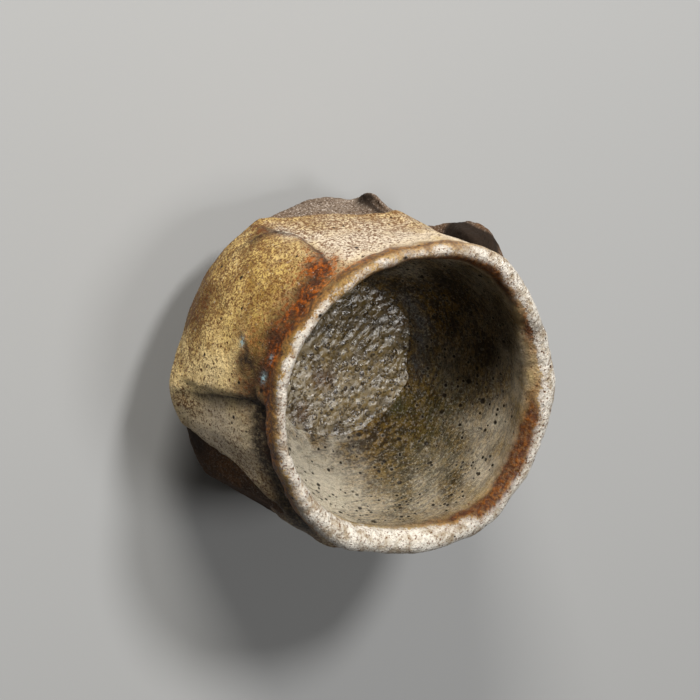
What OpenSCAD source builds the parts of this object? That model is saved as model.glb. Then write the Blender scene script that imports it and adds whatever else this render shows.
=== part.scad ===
// Small carved sake cup of wood-fired stoneware, standing on its foot ring.
// Its body is thrown round, then cut with broad flat facets that end in steps, so it turns like a pinwheel.
// Lengths are millimetres. The origin is the centre of the foot's underside, and +Z points to the mouth.
// A drop is a depth below the top of the lip. A turn is an angle about the axis, clockwise from above,
// from the front at -Y. A facet's reach is the distance of its plane from the axis at the neck.

/* [Cup] */
// Height from the foot's underside to the top of the lip
cup_h = 45; // [43:0.5:50]
// Radius over the glaze of the lip
lip_r = 30; // [28:0.25:33]
// Width of the lip over its glaze
lip_w = 3.8; // [3.4:0.1:5]

/* [Body] */
// How far the clay at the neck lies inside the lip's outside
neck_inset_w = 1.1; // [0.5:0.1:1.6]
// Drop of the neck
neck_drop = 4.2; // [3.5:0.1:5]
// Thickness of the clay wall at the neck
neck_wall_t = 2.5; // [2.2:0.1:3.2]
// How far the belly swells past the neck
belly_swell_w = 4.4; // [3.1:0.1:6.1]
// Drop of the belly
belly_drop = 26; // [24:0.5:28]
// How far the hip, where the wall ends, draws in from the belly
hip_draw_w = 3.7; // [2.3:0.1:4.8]
// Height of the hip over the flat underside
hip_rise_h = 4; // [2.5:0.1:5.5]
// Width of the underside's slope, from the hip in to the flat part
base_slope_w = 9.1; // [6.6:0.1:10.6]

/* [Inside] */
// Thickness of the clay floor
floor_t = 9.9; // [7.5:0.1:12]
// How far under its floor the curve of the bowl would close
well_round = 2.4; // [1.5:0.1:4]

/* [Foot] */
// Height of the foot ring
foot_h = 4.5; // [3:0.25:6]
// Radius of the foot ring where it stands
foot_r = 15.2; // [13:0.25:17]
// How much wider the foot ring is where it is luted to the body
foot_flare_w = 1.2; // [0:0.1:2.3]
// Width of the foot ring
foot_w = 3.6; // [2.5:0.1:5]
// Bevel round the foot ring's standing face
foot_bevel = 0.6; // [0.2:0.1:1]

/* [Glaze] */
// Thickness of the ash glaze outside
outer_glaze_t = 0.6; // [0.4:0.05:1]
// Thickness of the glaze over the lip
lip_glaze_t = 0.9; // [0.5:0.05:1.2]
// Thickness of the glaze inside
inner_glaze_t = 0.5; // [0.3:0.05:0.8]
// Depth of the glaze pool where it meets the wall
pool_depth = 2.2; // [1.1:0.1:3.6]
// How much lower the middle of the pool lies
pool_dip = 0.4; // [0.1:0.1:0.8]
// Drop of the ash glaze's edge at the axis
ash_drop = 16.5; // [12:0.1:20]
// Slope of the ash glaze's edge, in degrees
ash_slope = 29.8; // [20:0.1:40]
// Turn towards which that edge sinks
ash_turn = -5; // [-20:1:10]
// Turn of the upright plane at which the ash glaze stops beside the front left facet
ash_stop_turn = -74; // [-78:1:-70]
// How far that plane, and the next, lie outside the neck's radius
ash_stop_w = 1.1; // [0.5:0.1:2.1]

/* [Front facet] */
// Turn of the facet at the front left
front_turn = -54; // [-60:1:-48]
// Depth of its plane at the neck, inside the neck's radius
front_cut_depth = 0.9; // [-0.1:0.1:1.4]
// Angle by which it faces up
front_lean = 10; // [6:0.5:13]
// Angle from it to the facet's second plane, which ends in the step
front_fan = 12; // [8:0.5:16]
// Depth of the second plane at the neck, inside the neck's radius
front_fan_depth = 1.2; // [0.2:0.1:1.5]
// Angle by which the second plane faces up
front_fan_lean = 11.5; // [9:0.5:14]
// Distance of the step from the middle of the second plane, at the neck
front_step = 7.4; // [5.5:0.1:9.5]
// Angle of the step in the facet
front_step_roll = 3.5; // [0:0.1:9]

/* [Side facets] */
// Turn of the first raw facet on the side
side_turn = -88; // [-92:1:-84]
// How far its plane and the next lie outside the neck's radius, at the neck
side_out_w = 0.2; // [-0.4:0.1:1.2]
// Angle by which they face up
side_lean = 4.4; // [2:0.2:6]
// Angle from it to the like facet behind it
side_fan = 27; // [24:1:30]

/* [Top facet] */
// Turn of the pale facet next to the front
top_turn = 50; // [47:1:54]
// Depth of its plane at the neck, inside the neck's radius
top_cut_depth = 1; // [0.3:0.1:1.3]
// Angle by which it faces up
top_lean = 3.5; // [2:0.25:6]
// Distance of its step from its middle, at the neck
top_step = 12.8; // [10:0.1:14]
// Angle of its step in the facet
top_step_roll = 13; // [8:0.5:20]

/* [Hollow facet] */
// Turn of the deep facet beside the lobe
hollow_turn = 89; // [86:1:92]
// How far its plane lies outside the neck's radius, at the neck
hollow_out_w = 0.4; // [-0.3:0.1:1.1]
// Angle by which it faces down
hollow_lean = 0.5; // [0:0.25:3]
// Distance of its step from its middle
hollow_step = 5; // [3:0.1:6]

/* [Rear facet] */
// Turn of the facet behind the lobe
rear_turn = 135; // [130:1:140]
// Depth of its plane at the neck, inside the neck's radius
rear_cut_depth = 0.1; // [-1.1:0.1:0.7]
// Angle by which it faces up
rear_lean = 1.5; // [0:0.25:5]
// Distance of its step from its middle
rear_step = 12; // [9:0.1:14]
// Angle of its step in the facet
rear_step_roll = 8; // [0:0.5:15]

/* [Far facet] */
// Turn of the facet on the far side
far_turn = 196; // [190:1:202]
// Depth of its plane at the neck, inside the neck's radius
far_cut_depth = 0.6; // [-1.1:0.1:0.9]
// Angle by which it faces up
far_lean = 2; // [0:0.25:5]
// Distance of its step from its middle
far_step = 11.5; // [9:0.1:14]
// Angle of its step in the facet
far_step_roll = 12; // [0:0.5:18]

/* [Lobe] */
// Radius of the lobe's round edge
lobe_round = 12.9; // [12:0.1:15]
// How far the lobe stands out past the belly
lobe_out_w = 2.3; // [0.6:0.1:3.6]
// Drop of its middle
lobe_drop = 20; // [18:0.1:22]
// Turn at which the lobe begins
lobe_turn = 99; // [96:0.5:101]
// Angle that the lobe spans
lobe_span = 24; // [18:1:30]

/* [Hidden] */
$fn = 96;

// Turns of the facets under the belly, clockwise from the front left
under_turns = [-43, 20, 76, 128, 182, 240];
// A point of each one's middle: its reach as a share of the belly's radius, and its drop as a share of the belly's
under_reach_shares = [0.93, 0.93, 0.985, 0.95, 0.95, 0.95];
under_drop_shares = [1.28, 1.28, 0.98, 1.15, 1.25, 1.2];
// Angles by which they face down
under_leans = [58, 58, 24, 48, 52, 52];

// How the wall swells between neck and belly, how it draws in to the hip, and how the bowl inside closes
swell_power = 1.4;
hip_power = 2.5;
bowl_power = 3;
// Points along each curve
wall_steps = 6;
hip_steps = 3;
bowl_steps = 8;
pool_steps = 3;
lip_steps = 8;
lobe_steps = 8;
// Half the angle of the lobe's round edge
lobe_half_angle = 60;

neck_r = lip_r - neck_inset_w;
mouth_r = lip_r - lip_w;
well_r = neck_r - neck_wall_t;
belly_r = neck_r + belly_swell_w;
hip_r = belly_r - hip_draw_w;
base_r = hip_r - base_slope_w;
hip_drop = cup_h - foot_h - hip_rise_h;
well_depth = cup_h - foot_h - floor_t;
pool_drop = well_depth - pool_depth;

neck_z = cup_h - neck_drop;
floor_z = cup_h - well_depth;
// The lip's section is round on top: its middle and its radius
lip_mid_r = (lip_r + mouth_r) / 2;
lip_edge_r = lip_w / 2;
// The lobe's round edge is centred at this radius, and its root lies in the wall
lobe_seat_r = belly_r + lobe_out_w - lobe_round;
lobe_root_r = (neck_r + well_r) / 2;
// Room that every cut runs past the body
overrun = belly_r;

// Radius of the thrown wall at a drop between the neck and the hip
function wall_r(drop) = drop < belly_drop
    ? neck_r + (belly_r - neck_r) * (1 - pow(1 - (drop - neck_drop) / (belly_drop - neck_drop), swell_power))
    : belly_r + (hip_r - belly_r) * pow((drop - belly_drop) / (hip_drop - belly_drop), hip_power);

// Radius of the clay inside at a drop
function bowl_r(drop) = well_r * sqrt(1 - pow(drop / (well_depth + well_round), bowl_power));

// The wall's outline from the hip up to the neck, moved out by grow
function wall_points(grow) = concat(
    [for (i = [0:hip_steps - 1])
        let(drop = hip_drop + (belly_drop - hip_drop) * i / hip_steps)
        [wall_r(drop) + grow, cup_h - drop]],
    [for (i = [0:wall_steps])
        let(drop = belly_drop + (neck_drop - belly_drop) * i / wall_steps)
        [wall_r(drop) + grow, cup_h - drop]]);

// The rounded top of the lip from outside to inside, under a coat of the given thickness
function lip_points(coat) = [for (i = [0:lip_steps])
    let(a = 180 * i / lip_steps)
    [lip_mid_r + (lip_edge_r - coat) * cos(a), cup_h - lip_edge_r + (lip_edge_r - coat) * sin(a)]];

// The bowl's outline from one drop down to another in even steps, moved in by a coat's thickness
function bowl_points(from, to, steps, coat) = [for (i = [0:steps])
    let(drop = from + (to - from) * i / steps)
    [bowl_r(drop) - coat, cup_h - drop]];

// Turns what lies along +X to a turn, with +Y clockwise from it
module facing(turn) {
    rotate([0, 0, -90 - turn])
        mirror([0, 1, 0])
            children();
}

// The space outside a facet's plane, as far as the step in which the facet ends
module facet_cut(turn, reach, face_down, step, step_roll, grow) {
    facing(turn)
        translate([reach, 0, neck_z])
            rotate([0, face_down, 0])
                rotate([-step_roll, 0, 0])
                    translate([grow, -2 * overrun, -2 * overrun])
                        cube([overrun, 2 * overrun + step - grow, 4 * overrun]);
}

// The facets cut below the neck. Grow moves every cut face out, for the glaze over them.
module wall_facets(grow) {
    intersection() {
        union() {
            facet_cut(front_turn, neck_r - front_cut_depth, -front_lean, 2 * overrun, 0, grow);
            facet_cut(front_turn + front_fan, neck_r - front_fan_depth, -front_fan_lean,
                front_step, front_step_roll, grow);
            facet_cut(top_turn, neck_r - top_cut_depth, -top_lean, top_step, top_step_roll, grow);
            facet_cut(hollow_turn, neck_r + hollow_out_w, hollow_lean, hollow_step, 0, grow);
            facet_cut(rear_turn, neck_r - rear_cut_depth, -rear_lean, rear_step, rear_step_roll, grow);
            facet_cut(far_turn, neck_r - far_cut_depth, -far_lean, far_step, far_step_roll, grow);
            for (turn = [side_turn, side_turn - side_fan])
                facet_cut(turn, neck_r + side_out_w, -side_lean, 2 * overrun, 0, grow);
        }
        below_neck();
    }
}

module below_neck() {
    translate([-2 * overrun, -2 * overrun, -overrun])
        cube([4 * overrun, 4 * overrun, neck_z + overrun]);
}

// The space on the side that the ash glaze stays out of, outside two upright planes
module bare_side() {
    for (turn = [ash_stop_turn, ash_stop_turn - side_fan])
        facing(turn)
            translate([neck_r + ash_stop_w, -overrun, -overrun])
                cube([overrun, 2 * overrun, neck_z + overrun]);
}

// The slanting facets under the belly
module under_facets() {
    for (i = [0:len(under_turns) - 1])
        facing(under_turns[i])
            translate([under_reach_shares[i] * belly_r, 0, cup_h - under_drop_shares[i] * belly_drop])
                rotate([0, under_leans[i], 0])
                    translate([0, -overrun, -2 * overrun])
                        cube([overrun, 2 * overrun, 4 * overrun]);
}

// The lobe, a round-edged shelf of clay that the hollow facet leaves standing
module lobe() {
    half_h = lobe_round * sin(lobe_half_angle);
    facing(lobe_turn)
        rotate_extrude(angle = lobe_span)
            polygon(concat(
                [[lobe_root_r, cup_h - lobe_drop - half_h]],
                [for (i = [0:lobe_steps])
                    let(a = lobe_half_angle * (2 * i / lobe_steps - 1))
                    [lobe_seat_r + lobe_round * cos(a), cup_h - lobe_drop + lobe_round * sin(a)]],
                [[lobe_root_r, cup_h - lobe_drop + half_h]]));
}

// The thrown wall from hip to neck as a full solid, moved out by grow
module thrown_wall(grow) {
    rotate_extrude()
        polygon(concat(
            [[0, cup_h - hip_drop]],
            wall_points(grow),
            [[0, neck_z]]));
}

// The thrown form of the clay, filled inside
module thrown_clay() {
    rotate_extrude()
        polygon(concat(
            [[0, foot_h], [base_r, foot_h]],
            wall_points(0),
            lip_points(lip_glaze_t),
            [[well_r, neck_z], [0, neck_z]]));
}

module well() {
    rotate_extrude()
        polygon(concat(
            [[0, neck_z]],
            bowl_points(neck_drop, pool_drop, bowl_steps, 0),
            bowl_points(pool_drop, well_depth, pool_steps, 0),
            [[0, floor_z]]));
}

// Body of coarse stoneware, with its raw clay showing below the ash glaze
module clay_body() {
    color("#6b5546") difference() {
        union() {
            thrown_clay();
            lobe();
        }
        wall_facets(0);
        under_facets();
        well();
    }
}

// Foot ring, luted to the flat underside
module foot_ring() {
    color("#5a4638") rotate_extrude()
        polygon([
            [foot_r - foot_w, foot_bevel],
            [foot_r - foot_w + foot_bevel, 0],
            [foot_r - foot_bevel, 0],
            [foot_r, foot_bevel],
            [foot_r + foot_flare_w, foot_h],
            [foot_r - foot_w, foot_h]]);
}

// Coat of ash glaze over the facets, from the neck down to its slanting edge
module outer_glaze() {
    color("#b39a5c") difference() {
        intersection() {
            difference() {
                thrown_wall(outer_glaze_t);
                wall_facets(outer_glaze_t);
            }
            facing(ash_turn)
                translate([0, 0, cup_h - ash_drop])
                    rotate([0, ash_slope, 0])
                        translate([-2 * overrun, -2 * overrun, 0])
                            cube([4 * overrun, 4 * overrun, 2 * overrun]);
        }
        difference() {
            thrown_wall(0);
            wall_facets(0);
        }
        lobe();
        bare_side();
        under_facets();
    }
}

// Thick pale glaze rolled over the lip, down to the neck on both sides
module lip_glaze() {
    color("#e3ddcf") rotate_extrude()
        polygon(concat(
            [[neck_r, neck_z], [neck_r + outer_glaze_t, neck_z]],
            lip_points(0),
            [[bowl_r(neck_drop) - inner_glaze_t, neck_z], [bowl_r(neck_drop), neck_z]],
            [for (i = [lip_steps:-1:0]) lip_points(lip_glaze_t)[i]]));
}

// Coat of olive glaze inside, from the neck down to the pool
module inner_glaze() {
    color("#8f8768") rotate_extrude()
        polygon(concat(
            bowl_points(neck_drop, pool_drop, bowl_steps, 0),
            bowl_points(pool_drop, neck_drop, bowl_steps, inner_glaze_t)));
}

// Pool of clear glass that ran down and set on the floor
module glaze_pool() {
    color("#77755a") rotate_extrude()
        polygon(concat(
            [[0, cup_h - pool_drop - pool_dip], [bowl_r(pool_drop) - inner_glaze_t, cup_h - pool_drop]],
            bowl_points(pool_drop, well_depth, pool_steps, 0),
            [[0, floor_z]]));
}

clay_body();
foot_ring();
outer_glaze();
lip_glaze();
inner_glaze();
glaze_pool();
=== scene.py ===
import math

import bpy
import numpy as np
from mathutils import Matrix, Vector
from mathutils.bvhtree import BVHTree
from mathutils.kdtree import KDTree


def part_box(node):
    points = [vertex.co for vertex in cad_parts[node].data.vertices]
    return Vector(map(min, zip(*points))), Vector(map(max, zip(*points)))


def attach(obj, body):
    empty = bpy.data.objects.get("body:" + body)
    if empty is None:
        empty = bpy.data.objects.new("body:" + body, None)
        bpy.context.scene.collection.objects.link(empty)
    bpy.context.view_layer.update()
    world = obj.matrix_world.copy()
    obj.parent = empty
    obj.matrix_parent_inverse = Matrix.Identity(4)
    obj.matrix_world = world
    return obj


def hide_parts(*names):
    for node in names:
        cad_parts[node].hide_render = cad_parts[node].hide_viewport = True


bl_info = {
    "name": "Carved sake cup",
    "version": (1, 0, 0),
    "blender": (4, 5, 0),
    "location": "3D View > Sidebar > Sake Cup",
    "description": "Dresses a small wood-fired sake cup over its packed frame",
    "category": "Add Mesh",
}

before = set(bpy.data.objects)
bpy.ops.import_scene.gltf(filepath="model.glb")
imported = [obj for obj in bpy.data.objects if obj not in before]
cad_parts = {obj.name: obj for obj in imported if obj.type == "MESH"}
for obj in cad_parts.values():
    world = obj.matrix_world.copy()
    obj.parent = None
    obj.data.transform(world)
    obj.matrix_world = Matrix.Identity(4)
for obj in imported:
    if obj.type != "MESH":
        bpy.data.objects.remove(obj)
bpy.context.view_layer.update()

MM = 0.001
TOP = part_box("lip_glaze")[1].z / MM
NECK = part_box("lip_glaze")[0].z / MM
FLOOR_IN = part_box("glaze_pool")[0].z / MM
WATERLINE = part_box("glaze_pool")[1].z / MM
FOOT_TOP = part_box("foot_ring")[1].z / MM
LIP_R = (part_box("lip_glaze")[1].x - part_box("lip_glaze")[0].x) / 2 / MM


# Measuring on the cup, in millimetres

def polar(p):
    """Turn in degrees clockwise from the front, drop below the lip, and radius of each point."""
    return np.degrees(np.arctan2(-p[:, 0], -p[:, 1])), TOP - p[:, 2], np.hypot(p[:, 0], p[:, 1])


def outward(p):
    """Unit vectors away from the axis."""
    flat = p * [1, 1, 0]
    return flat / np.maximum(np.linalg.norm(flat, axis=1), 1e-6)[:, None]


def ease(x, low, high):
    """0 at low, 1 at high, smooth between."""
    t = np.clip((x - low) / (high - low), 0, 1)
    return t * t * (3 - 2 * t)


def ripple(p, size, seed, waves=22):
    """A smooth random field over points, with lumps of about the given size, mostly within -1 to 1."""
    rng = np.random.default_rng(seed)
    way = rng.normal(size=(waves, 3))
    way *= (rng.uniform(0.6, 1.5, waves) * math.pi / size / np.linalg.norm(way, axis=1))[:, None]
    total = np.zeros(len(p))
    for k, phase in zip(way, rng.uniform(0, 2 * math.pi, waves)):
        total += np.sin(p @ k + phase)
    return total / math.sqrt(waves)


def marks(p, strokes, fray=1.0):
    """How strongly each point is covered by strokes of (turn, drop, radius, half width, half height, strength)."""
    q = p + fray * np.stack([ripple(p, 5, 31 + i) + 0.5 * ripple(p, 2, 41 + i) for i in range(3)], 1)
    turn, drop, r = polar(q)
    bare = np.ones(len(p))
    for t, d, radius, half_w, half_h, strength in strokes:
        if radius < 18:
            a = math.radians(t)
            span = np.hypot(q[:, 0] + radius * math.sin(a), q[:, 1] + radius * math.cos(a)) / half_w
            depth = np.zeros(len(p))
        else:
            span = radius * np.radians((turn - t + 180) % 360 - 180) / half_w
            depth = (r - radius) / (1.5 if d < 4.2 else 4.5)
        bare *= 1 - strength * np.exp(-(span ** 2 + ((drop - d) / half_h) ** 2 + depth ** 2))
    return 1 - bare


# Working on meshes

def pick_only(piece):
    bpy.ops.object.select_all(action="DESELECT")
    piece.select_set(True)
    bpy.context.view_layer.objects.active = piece


def copy_of(node, name):
    """A new piece with a merged copy of a CAD node's mesh."""
    piece = bpy.data.objects.new(name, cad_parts[node].data.copy())
    piece.data.name = name
    piece.data.materials.clear()
    bpy.context.scene.collection.objects.link(piece)
    pick_only(piece)
    bpy.ops.object.mode_set(mode="EDIT")
    bpy.ops.mesh.select_all(action="SELECT")
    bpy.ops.mesh.remove_doubles(threshold=1e-6)
    bpy.ops.object.mode_set(mode="OBJECT")
    return piece


def use(piece, kind, **settings):
    """Adds a modifier and applies it."""
    pick_only(piece)
    mod = piece.modifiers.new(kind.title(), kind)
    for key, value in settings.items():
        setattr(mod, key, value)
    bpy.ops.object.modifier_apply(modifier=mod.name)


def clay_skin(piece, cell):
    """Turns a hard-edged solid into even small faces."""
    use(piece, "REMESH", mode="VOXEL", voxel_size=cell * MM)


def points(piece):
    p = np.empty(len(piece.data.vertices) * 3, np.float32)
    piece.data.vertices.foreach_get("co", p)
    return p.reshape(-1, 3).astype(float) / MM


def place(piece, p):
    piece.data.vertices.foreach_set("co", (p * MM).astype(np.float32).ravel())
    piece.data.update()


def normals(piece):
    n = np.empty(len(piece.data.vertices) * 3, np.float32)
    piece.data.vertex_normals.foreach_get("vector", n)
    return n.reshape(-1, 3).astype(float)


def edges(piece):
    e = np.empty(len(piece.data.edges) * 2, np.int32)
    piece.data.edges.foreach_get("vertices", e)
    return e.reshape(-1, 2)


def even_out(values, links, rounds, weight=0.5):
    """Averages a value, or a place, with its neighbours' along the mesh's edges."""
    values = np.array(values, float)
    flat = values.reshape(len(values), -1)
    a, b = links[:, 0], links[:, 1]
    count = np.maximum(np.bincount(np.r_[a, b], minlength=len(values)), 1)
    for _ in range(rounds):
        for c in range(flat.shape[1]):
            near = np.bincount(a, flat[b, c], len(values)) + np.bincount(b, flat[a, c], len(values))
            flat[:, c] += weight * (near / count - flat[:, c])
    return flat.reshape(values.shape)


def keep(piece, name, values):
    """Stores a number, a place or a colour for each point of a piece."""
    kind, field, width = {1: ("FLOAT", "value", 1), 3: ("FLOAT_VECTOR", "vector", 3),
                          4: ("FLOAT_COLOR", "color", 4)}[1 if values.ndim == 1 else values.shape[1]]
    if name in piece.data.attributes:
        piece.data.attributes.remove(piece.data.attributes[name])
    made = piece.data.attributes.new(name, kind, "POINT")
    made.data.foreach_set(field, values.astype(np.float32).ravel())


def kept(piece, name, width=1):
    values = np.empty(len(piece.data.vertices) * width, np.float32)
    piece.data.attributes[name].data.foreach_get("value" if width == 1 else "vector", values)
    return values.astype(float) if width == 1 else values.reshape(-1, width).astype(float)


def drop_points(piece, doomed):
    """Deletes the points that a mask names, with their faces."""
    pick_only(piece)
    bpy.ops.object.mode_set(mode="EDIT")
    bpy.ops.mesh.select_all(action="DESELECT")
    bpy.ops.object.mode_set(mode="OBJECT")
    piece.data.vertices.foreach_set("select", doomed)
    bpy.ops.object.mode_set(mode="EDIT")
    bpy.ops.mesh.delete(type="VERT")
    bpy.ops.object.mode_set(mode="OBJECT")


def drop_faces(piece, doomed):
    """Deletes the faces that a mask names, and the points left loose."""
    pick_only(piece)
    bpy.ops.object.mode_set(mode="EDIT")
    bpy.ops.mesh.select_mode(type="FACE")
    bpy.ops.mesh.select_all(action="DESELECT")
    bpy.ops.object.mode_set(mode="OBJECT")
    piece.data.polygons.foreach_set("select", doomed)
    bpy.ops.object.mode_set(mode="EDIT")
    bpy.ops.mesh.delete(type="FACE")
    bpy.ops.mesh.select_mode(type="VERT")
    bpy.ops.object.mode_set(mode="OBJECT")


def cut_level(piece, level):
    """Cuts a piece's faces along a level plane and keeps both sides."""
    pick_only(piece)
    bpy.ops.object.mode_set(mode="EDIT")
    bpy.ops.mesh.select_all(action="SELECT")
    bpy.ops.mesh.bisect(plane_co=(0, 0, level * MM), plane_no=(0, 0, 1))
    bpy.ops.object.mode_set(mode="OBJECT")


def finish_piece(piece, node, material):
    """Gives a piece its finish and its place in the frame."""
    piece.data.materials.clear()
    piece.data.materials.append(material)
    pick_only(piece)
    bpy.ops.object.shade_smooth()
    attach(piece, "root")
    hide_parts(node)


# The form: how the hands and the kiln moved the clay off the plain carved shape

# Lip: turn, how far its outside and its inside lie off the round, and how much it rises
LIP_WAVES = [
    (-175, 0.9, 0.6, 0.0), (-162, 1.7, 0.8, 0.2), (-150, 1.3, 0.6, 0.1), (-137, 0.5, -0.3, -0.1),
    (-121, -0.4, -1.0, -0.2), (-107, -0.5, -1.2, -0.1), (-90, -0.3, -1.1, 0.1), (-76, -0.9, -0.9, 0.0),
    (-60, -1.2, -0.6, -0.1), (-42, -1.2, -0.1, 0.0), (-25, -0.9, 0.4, 0.1), (-8, -0.7, 0.8, 0.0),
    (10, -0.7, 0.9, -0.1), (27, -1.1, 0.8, 0.0), (49, -0.8, 0.8, 0.1), (66, -0.3, 0.6, 0.0),
    (82, 0.7, 1.1, -0.1), (94, 1.1, 0.9, 0.0), (106, 0.3, -0.2, 0.1), (121, -0.7, -0.8, -0.1),
    (133, -0.3, -1.2, 0.0), (149, 1.0, -1.1, 0.1), (161, 0.1, -1.0, 0.0), (172, 0.8, -0.3, 0.0)]

# Pushes by the fingers: turn, drop, radius, half width, half height, how far out
PUSHES = [
    (-37, 31, 33, 5, 6, 1.4), (-66, 31, 33, 6, 4, 0.5), (-84, 10, 30, 8, 4, 0.8), (0, 32, 33, 20, 8, -0.3), (-10, 9, 30, 10, 5, 0.2),
    (42, 12, 30, 8, 6, -0.2), (60, 20, 30, 6, 7, -0.3), (150, 20, 32, 12, 8, -0.3), (-150, 18, 32, 12, 8, 0.3),
    (65.5, 27.5, 31.5, 1.4, 3.5, 0.9), (72, 14, 31, 8, 7, -1.0), (97, 31.5, 31, 5, 3.5, -1.2)]

# Knife steps: points of turn and drop, how deep, and how far the cut side and the standing side reach
STEPS = [
    ([(-28.5, 6.4), (-29, 10), (-30.5, 14), (-32, 18), (-34, 23), (-36, 29)], [1.0, 1.0, 0.9, 0.7, 0.5, 0.2], 5.0, 0.35),
    ([(-84, 5.6), (-70, 5.2), (-55, 5.0), (-42, 5.0), (-34, 5.6), (-28.5, 6.4)], [0.6, 1.0, 1.2, 1.2, 1.2, 1.1], 4.5, 0.4),
    ([(24, 6.5), (27, 12), (29.5, 20), (30, 27)], [0.2, 0.8, 0.9, 0.4], -4.0, 0.5),
    ([(-48, 31), (-51, 26), (-55.5, 21), (-60, 17), (-65, 12.5), (-70, 8)], [0.7, 1.1, 1.2, 1.0, 0.6, 0.2], -4.5, 0.3)]


def line_gap(p, path):
    """Each point's distance from a line of turns and drops in mm, how far along it lies, and on which side."""
    turn, drop, r = polar(p)
    best, place_on, side = np.full(len(p), 1e9), np.zeros(len(p)), np.zeros(len(p))
    for i, ((t0, d0), (t1, d1)) in enumerate(zip(path, path[1:])):
        bx, by = math.radians(t1 - t0) * 31, d1 - d0
        px, py = np.radians((turn - t0 + 180) % 360 - 180) * 31, drop - d0
        along = np.clip((px * bx + py * by) / (bx * bx + by * by), 0, 1)
        gap = np.hypot(px - along * bx, py - along * by)
        nearer = gap < best
        best = np.where(nearer, gap, best)
        place_on = np.where(nearer, i + along, place_on)
        side = np.where(nearer, py * bx - px * by, side)
    return best, place_on, side


def knife_step(p, path, deep, cut_side, standing_side):
    """Depth of a step along a path: full at the path, fading over the cut side, with hardly any on the other."""
    gap, place_on, side = line_gap(p, path)
    reach = np.where(side * cut_side > 0, abs(cut_side), standing_side)
    fall = 0.6 * np.exp(-(gap / reach) ** 2) + 0.4 * np.exp(-(gap / np.minimum(0.3 * abs(cut_side), reach)) ** 2)
    return np.interp(place_on, np.arange(len(deep)), deep) * fall * ease(polar(p)[1], 4.0, 5.2)


def lines(p, drawn, fray=0.35):
    """How strongly each point is covered by lines of (path, strength at each of its points, width on either side)."""
    q = p + fray * np.stack([ripple(p, 3, 71 + i) + 0.6 * ripple(p, 1.2, 81 + i) for i in range(3)], 1)
    bare = np.ones(len(p))
    for path, strong, one_side, other_side in drawn:
        gap, place_on, side = line_gap(q, path)
        width = np.where(side > 0, one_side, other_side)
        bare *= 1 - np.interp(place_on, np.arange(len(strong)), strong) * np.exp(-(gap / width) ** 2)
    return 1 - bare


def by_turn(turn, column, table=None):
    """A column of a table of turns, read at any turn and softened."""
    knots = np.array(LIP_WAVES if table is None else table)
    x = np.arange(-180, 180, 2.0)
    y = np.interp(x, knots[:, 0], knots[:, column], period=360)
    soft = np.convolve(np.r_[y[-4:], y, y[:4]], np.ones(9) / 9, "valid")
    return np.interp(turn, x, soft, period=360)


def hand_shaped(p):
    """Moves points of the plain carved form to where the potter's hands left them."""
    turn, drop, r = polar(p)
    away = outward(p)
    near_lip = 1 - ease(drop, 2.5, 11)
    outer_side = ease(r, 26.6, 29.6)
    shift = near_lip * (outer_side * by_turn(turn, 1) + (1 - outer_side) * by_turn(turn, 2))
    outside = ease(r, 26.9, 28.4)
    for t, d, radius, half_w, half_h, far in PUSHES:
        span = radius * np.radians((turn - t + 180) % 360 - 180) / half_w
        shift += far * outside * np.exp(-(span ** 2 + ((drop - d) / half_h) ** 2))
    shift -= outside * np.max([knife_step(p, *step) for step in STEPS], axis=0)
    low = ease(p[:, 2], FOOT_TOP, FOOT_TOP + 4)
    shift += low * (0.20 * ripple(p, 13, 1) + 0.09 * ripple(p, 5, 2)) * (0.4 + 0.6 * outside)
    rings = np.sin((drop + 0.9 * turn / 57.3) * 2 * math.pi / 5.2 + 0.6 * ripple(p, 20, 3))
    shift += 0.13 * rings * (1 - outside) * ease(r, 8, 18) * ease(drop, 5, 9)
    q = p + away * (shift * ease(r, 1, 6))[:, None]
    q[:, 2] += near_lip * by_turn(turn, 3)
    # The end of the lobe is hollow
    scoop = np.exp(-((r - 32.2) / 1.8) ** 2 - ((drop - 20) / 5.5) ** 2) * ease(turn, 95, 98) * (1 - ease(turn, 100.5, 104))
    q -= 1.3 * scoop[:, None] * np.stack([away[:, 1], -away[:, 0], 0 * r], 1)
    return q


def coat_thickness(rest, depth):
    """Thickness of the glaze: thicker over the lip, rolled up along its lower edge, and none below it."""
    s = bpy.context.scene.sake_cup_glaze
    turn, drop, r = polar(rest)
    over_lip = 1 - ease(drop, TOP - NECK - 1.2, TOP - NECK + 1.5)
    inside = 1 - ease(r, 26.6, 27.6)
    full = s.outer + (s.inner - s.outer) * inside
    full = full + (s.lip - full) * over_lip
    full = full * (1 + 0.16 * ripple(rest, 4, 11)) + (0.02 + 0.05 * over_lip) * ripple(rest, 1.25, 12)
    full = full + 0.05 * inside * (1 - over_lip) * ripple(rest * [1, 1, 0.5], 1.6, 13)
    roll = 1 + s.roll * np.exp(-((depth - 0.9) / 0.7) ** 2)
    return np.where(depth > 0, full * roll * (1 - np.exp(-np.maximum(depth, 0) / 0.3)), depth * 0.8)


# Finishes

def node(tree, kind, links=None, **settings):
    made = tree.nodes.new(kind)
    for key, value in settings.items():
        setattr(made, key, value)
    for key, value in (links or {}).items():
        socket = made.inputs[key]
        if isinstance(value, bpy.types.NodeSocket):
            tree.links.new(value, socket)
        else:
            socket.default_value = value
    return made


def noise(tree, at, scale, detail=3, rough=0.55, warp=0.0):
    return node(tree, "ShaderNodeTexNoise", {"Vector": at, "Scale": scale, "Detail": detail, "Roughness": rough,
                                             "Distortion": warp}).outputs["Fac"]


def ramp(tree, fac, low, high, to_low=0.0, to_high=1.0):
    """Maps low to high onto another range, clamped."""
    return node(tree, "ShaderNodeMapRange", {"Value": fac, "From Min": low, "From Max": high, "To Min": to_low,
                                             "To Max": to_high}).outputs["Result"]


def sums(tree, how, a, b):
    return node(tree, "ShaderNodeMath", {0: a, 1: b}, operation=how).outputs[0]


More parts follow.
